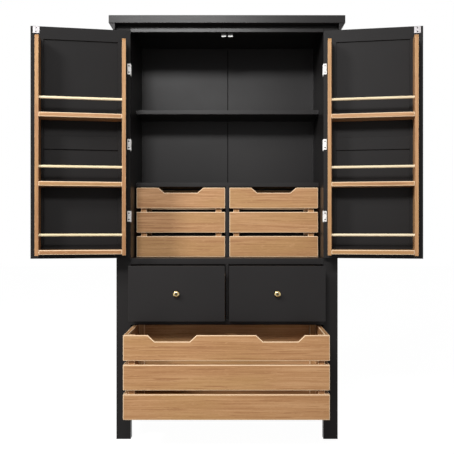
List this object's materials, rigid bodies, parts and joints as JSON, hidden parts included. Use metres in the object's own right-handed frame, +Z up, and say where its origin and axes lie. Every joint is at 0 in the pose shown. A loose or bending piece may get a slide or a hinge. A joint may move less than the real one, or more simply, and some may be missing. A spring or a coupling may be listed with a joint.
{
  "type": "storage cabinet",
  "caption": "Tall painted larder cabinet: double doors with oak spice racks, shelves, pull-out crates, drawers and a wide slatted crate on runners.",
  "frame": {"origin": "on the floor, in the middle of the box round the cabinet at rest, with its doors open and its drawers and wide crate drawn out", "axes": "+X to the right seen from the front, +Y to the back, +Z up"},
  "size_m": [1.7152, 0.685, 1.895],
  "materials": {
    "charcoal_paint": "satin charcoal paint over timber",
    "oak": "oiled oak with straight grain",
    "pale_dowel": "pale beech, turned and oiled",
    "drawer_wood": "plain oiled timber",
    "steel": "satin nickel plated steel",
    "runner_zinc": "bright zinc plated steel",
    "brass": "satin brass",
    "catch_plastic": "pale grey moulded plastic"
  },
  "bodies": {
    "root": {"front_posts": "charcoal_paint", "back_posts": "charcoal_paint", "side_rails": "charcoal_paint", "side_panels": "charcoal_paint", "side_liners": "charcoal_paint", "bottom_rail": "charcoal_paint", "lower_rail": "charcoal_paint", "middle_rail": "charcoal_paint", "top_rail": "charcoal_paint", "back_panels": "charcoal_paint", "floor_boards": "charcoal_paint", "crate_divider": "charcoal_paint", "drawer_divider": "charcoal_paint", "lower_shelf": "charcoal_paint", "upper_shelf": "charcoal_paint", "shelf_pins": "charcoal_paint", "top_board": "charcoal_paint", "cornice_mouldings": "charcoal_paint", "door_catches": "catch_plastic", "hinge_frame_leaves": "steel", "hinge_pins": "steel", "hinge_frame_screws": "steel", "runner_cabinet_members": "runner_zinc"},
    "left_door": {"left_door_stiles": "charcoal_paint", "left_door_rails": "charcoal_paint", "left_door_panels": "charcoal_paint", "left_rack_sides": "oak", "left_rack_shelves": "oak", "left_rack_dowels": "pale_dowel", "left_hinge_door_leaves": "steel", "left_hinge_door_screws": "steel", "left_strike_plate": "steel", "left_door_knob": "brass"},
    "left_drawer": {"left_drawer_front": "charcoal_paint", "left_drawer_box": "drawer_wood", "left_drawer_knob": "brass"},
    "left_crate": {"left_crate_front_slats": "oak", "left_crate_wall_slats": "oak", "left_crate_battens": "oak"},
    "right_door": {"right_door_stiles": "charcoal_paint", "right_door_rails": "charcoal_paint", "right_door_panels": "charcoal_paint", "right_rack_sides": "oak", "right_rack_shelves": "oak", "right_rack_dowels": "pale_dowel", "right_hinge_door_leaves": "steel", "right_hinge_door_screws": "steel", "right_strike_plate": "steel", "right_door_knob": "brass"},
    "right_drawer": {"right_drawer_front": "charcoal_paint", "right_drawer_box": "drawer_wood", "right_drawer_knob": "brass"},
    "right_crate": {"right_crate_front_slats": "oak", "right_crate_wall_slats": "oak", "right_crate_battens": "oak"},
    "wide_crate": {"wide_crate_front_slats": "oak", "wide_crate_wall_slats": "oak", "wide_crate_battens": "oak", "runner_crate_members": "runner_zinc"},
    "runner_middle": {"runner_middle_members": "runner_zinc"}
  },
  "joints": [
    {"name": "left_door_hinge", "type": "hinge", "parent": "root", "child": "left_door", "pos_m": [-0.433, -0.0625, 1.3], "axis": [0, 0, -1], "range_deg": [-170, 10]},
    {"name": "right_door_hinge", "type": "hinge", "parent": "root", "child": "right_door", "pos_m": [0.433, -0.0625, 1.3], "axis": [0, 0, 1], "range_deg": [-170, 10]},
    {"name": "left_drawer_slide", "type": "slide", "parent": "root", "child": "left_drawer", "axis": [0, -1, 0], "range_m": [-0.086, 0.214]},
    {"name": "right_drawer_slide", "type": "slide", "parent": "root", "child": "right_drawer", "axis": [0, -1, 0], "range_m": [-0.086, 0.214]},
    {"name": "left_crate_slide", "type": "slide", "parent": "root", "child": "left_crate", "axis": [0, -1, 0], "range_m": [0, 0.2]},
    {"name": "right_crate_slide", "type": "slide", "parent": "root", "child": "right_crate", "axis": [0, -1, 0], "range_m": [0, 0.2]},
    {"name": "wide_crate_slide", "type": "slide", "parent": "root", "child": "wide_crate", "axis": [0, -1, 0], "range_m": [-0.285, 0.075]},
    {"name": "runner_middle_slide", "type": "slide", "parent": "root", "child": "runner_middle", "axis": [0, -1, 0], "range_m": [-0.1425, 0.0375]}
  ],
  "couplings": [
    {"joint": "runner_middle_slide", "follows": "wide_crate_slide", "ratio": 0.5}
  ]
}
